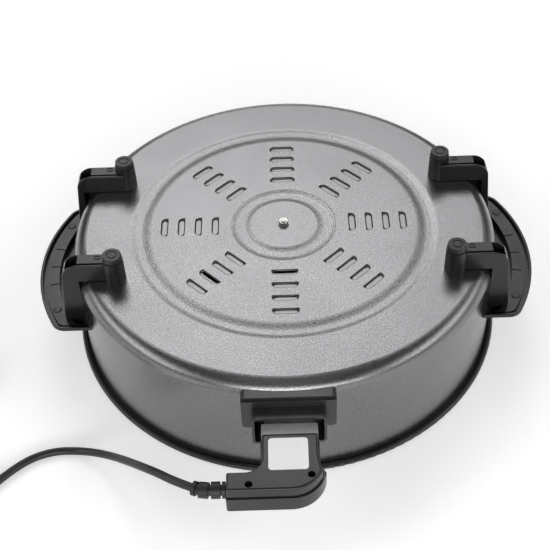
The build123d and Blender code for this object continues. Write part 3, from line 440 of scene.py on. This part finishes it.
# Power cord: one line from the strain relief through the coil to the plug
def cord_route():
    points = [Vector(point) / 1000 for point in cord_stretch]
    heading = (points[-1] - points[-2]).normalized()
    side = Vector((-heading.y, heading.x, 0))
    centre = points[-1] - side * coil_radius
    inward = [coil_radius - index * coil_pitch / 2 for index in range(coil_half_turns + 1)]
    reaches = inward + inward[::-1]
    levels = [0.0] * len(inward) + [coil_layer_rise] * len(inward)
    open_out = 1 / math.cos(math.pi / coil_steps / 2)
    for index in range(len(reaches) - 1):
        sign = (-1) ** index
        start = side * sign * reaches[index]
        end = -side * sign * reaches[index + 1]
        middle = (start + end) / 2
        radius = (reaches[index] + reaches[index + 1]) / 2 * open_out
        for step in range(coil_steps):
            share = (step + 0.5) / coil_steps
            angle = math.pi * share
            height = levels[index] + (levels[index + 1] - levels[index]) * share
            around = side * math.cos(angle) + heading * math.sin(angle)
            points.append(centre + middle + around * sign * radius + Vector((0, 0, height)))
    coil_end = centre - side * reaches[-1] + Vector((0, 0, coil_layer_rise))
    points.append(coil_end - heading * coil_lead_out)
    points += [Vector(point) / 1000 for point in cord_tail]
    return points


def lay_cord():
    points = cord_route()
    line = bpy.data.curves.new("power_cord", "CURVE")
    line.dimensions = "3D"
    spline = line.splines.new("NURBS")
    spline.points.add(len(points) - 1)
    for point, place in zip(spline.points, points):
        point.co = (*place, 1.0)
    spline.order_u = 3
    spline.use_endpoint_u = True
    line.resolution_u = 6
    line.bevel_depth = cord_diameter / 2
    line.bevel_resolution = 6
    line.use_fill_caps = True
    cord = bpy.data.objects.new("power_cord", line)
    bpy.context.scene.collection.objects.link(cord)
    line.materials.append(cord_rubber)
    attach(cord, "controller")
    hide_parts("cord_stretch", "cord_coil", "cord_tail")


# One slot's rim: the sheet rolled down all round the slot
def roll_rim(radius):
    bpy.ops.mesh.primitive_plane_add(size=1, location=(radius, 0, shell_face))
    rim = bpy.context.object
    rim.name = "slot_rim"
    rim.scale = (slot_width, slot_length, 1)
    settle(rim)
    for outward, corner, segments in ((1, outer_slot_corner, 6), (-1, inner_slot_corner, 3)):
        for vertex in rim.data.vertices:
            vertex.select = outward * (vertex.co.x - radius) > slot_width / 2 - edge_tolerance
        bpy.ops.object.mode_set(mode="EDIT")
        bpy.ops.mesh.bevel(offset=corner, segments=segments, affect="VERTICES")
        bpy.ops.mesh.select_all(action="DESELECT")
        bpy.ops.object.mode_set(mode="OBJECT")
    bpy.ops.object.mode_set(mode="EDIT")
    bpy.ops.mesh.select_all(action="SELECT")
    angles = [math.radians(angle) for angle in rim_angles]
    for start, end in zip(angles, angles[1:]):
        bpy.ops.mesh.inset(thickness=rim_roll * (math.sin(end) - math.sin(start)),
                           depth=rim_roll * (math.cos(end) - math.cos(start)), use_even_offset=True)
    bpy.ops.mesh.delete(type="FACE")
    bpy.ops.object.mode_set(mode="OBJECT")
    return rim


# The rims of all the slots, made as one and copied
def roll_slot_rims():
    first = roll_rim(first_slot_radius)
    sheet = first.modifiers.new("sheet", "SOLIDIFY")
    sheet.thickness = rim_sheet
    sheet.offset = -1
    pick(first)
    bpy.ops.object.modifier_apply(modifier="sheet")
    bpy.ops.object.shade_smooth_by_angle(angle=math.radians(60))
    copies = []
    for group in range(slot_groups):
        turn = Matrix.Rotation(math.radians(360 / slot_groups * group), 4, "Z")
        for row in range(slot_rows):
            rim = first.copy()
            rim.data = first.data.copy()
            bpy.context.scene.collection.objects.link(rim)
            rim.matrix_world = turn @ Matrix.Translation((slot_row_pitch * row, 0, 0))
            settle(rim)
            copies.append(rim)
    bpy.data.objects.remove(first)
    deselect()
    for rim in copies:
        rim.select_set(True)
    bpy.context.view_layer.objects.active = copies[0]
    bpy.ops.object.join()
    rims = bpy.context.object
    rims.name = "slot_rims"
    # The rims' dark paint is painted shade along the edges of the slots
    rims.data.materials.append(rim_shade_paint)
    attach(rims, "pan")


# Bare plate on the controller, where the real one carries print
def stick_plate():
    bpy.ops.mesh.primitive_plane_add(size=1, location=(*plate_place, case_top + plate_lift))
    plate = bpy.context.object
    plate.name = "bare_plate"
    plate.scale = (*plate_size, 1)
    settle(plate)
    bpy.ops.object.mode_set(mode="EDIT")
    bpy.ops.mesh.select_all(action="SELECT")
    bpy.ops.mesh.bevel(offset=plate_corner, segments=5, affect="VERTICES")
    bpy.ops.mesh.extrude_region_move(TRANSFORM_OT_translate={"value": (0, 0, plate_thickness)})
    bpy.ops.mesh.select_all(action="SELECT")
    bpy.ops.mesh.normals_make_consistent(inside=False)
    bpy.ops.object.mode_set(mode="OBJECT")
    settle(plate)
    plate.data.materials.append(plate_film)
    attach(plate, "controller")


# Floor: pale, and lifted to white where it is seen, so that the object's shadow stays faint
def lay_floor():
    bpy.ops.mesh.primitive_plane_add(size=floor_size, location=(0, 0, 0))
    floor = bpy.context.object
    floor.name = "floor"
    material, tree, shader = new_material("white_floor", (0.90, 0.90, 0.90), 0.9)
    rays = tree.nodes.new("ShaderNodeLightPath")
    seen = rays.outputs["Is Camera Ray"]
    for other in ("Is Glossy Ray", "Is Transmission Ray"):
        either = tree.nodes.new("ShaderNodeMath")
        either.operation = "MAXIMUM"
        link(tree, seen, either.inputs[0])
        link(tree, rays.outputs[other], either.inputs[1])
        seen = either.outputs[0]
    share = tree.nodes.new("ShaderNodeMath")
    share.operation = "MULTIPLY"
    share.inputs[1].default_value = floor_glow
    link(tree, seen, share.inputs[0])
    shader.inputs["Emission Color"].default_value = (1, 1, 1, 1)
    link(tree, share.outputs[0], shader.inputs["Emission Strength"])
    floor.data.materials.append(material)


def hang_lamp(name, place, aim, width, height, power):
    light = bpy.data.lights.new(name, "AREA")
    light.shape = "RECTANGLE"
    light.size = width
    light.size_y = height
    light.energy = power
    holder = bpy.data.objects.new(name, light)
    bpy.context.scene.collection.objects.link(holder)
    holder.location = place
    holder.rotation_euler = (Vector(aim) - Vector(place)).to_track_quat("-Z", "Y").to_euler()


def grey_ramp(tree, factor, stops):
    ramp = tree.nodes.new("ShaderNodeValToRGB")
    ramp.color_ramp.interpolation = "EASE"
    ramp.color_ramp.elements[0].position = stops[0][0]
    ramp.color_ramp.elements[1].position = stops[-1][0]
    for position, _ in stops[1:-1]:
        ramp.color_ramp.elements.new(position)
    for element, (_, level) in zip(ramp.color_ramp.elements, stops):
        element.color = (level, level, level, 1)
    link(tree, factor, ramp.inputs["Fac"])
    return ramp.outputs["Color"]


# Room: a ring of soft light, higher behind the cooker than in front, and a dim ceiling
def light_room():
    world = bpy.data.worlds.new("studio")
    world.use_nodes = True
    tree = world.node_tree
    tree.nodes.clear()
    place = tree.nodes.new("ShaderNodeTexCoord")
    tilt = tree.nodes.new("ShaderNodeMapping")
    tilt.inputs["Rotation"].default_value = (math.radians(room_tilt), 0, 0)
    link(tree, place.outputs["Generated"], tilt.inputs["Vector"])
    parts = tree.nodes.new("ShaderNodeSeparateXYZ")
    link(tree, tilt.outputs["Vector"], parts.inputs[0])
    across = tree.nodes.new("ShaderNodeMapRange")
    across.inputs["From Min"].default_value = -1
    link(tree, parts.outputs["X"], across.inputs["Value"])
    shade = tree.nodes.new("ShaderNodeVectorMath")
    shade.operation = "SCALE"
    link(tree, grey_ramp(tree, parts.outputs["Z"], light_by_height), shade.inputs[0])
    link(tree, grey_ramp(tree, across.outputs["Result"], light_by_side), shade.inputs["Scale"])
    room = tree.nodes.new("ShaderNodeBackground")
    room.inputs["Strength"].default_value = room_strength
    link(tree, shade.outputs["Vector"], room.inputs["Color"])
    result = tree.nodes.new("ShaderNodeOutputWorld")
    link(tree, room.outputs[0], result.inputs["Surface"])
    bpy.context.scene.world = world


set_camera()
lay_cord()
roll_slot_rims()
stick_plate()
lay_floor()
light_room()
hang_lamp("front_strip", place=(0.2, -1.9, 0.62), aim=(0, 0, 0.1),
          width=2.2, height=0.25, power=11.0)
bpy.context.scene.view_settings.view_transform = "Standard"
deselect()
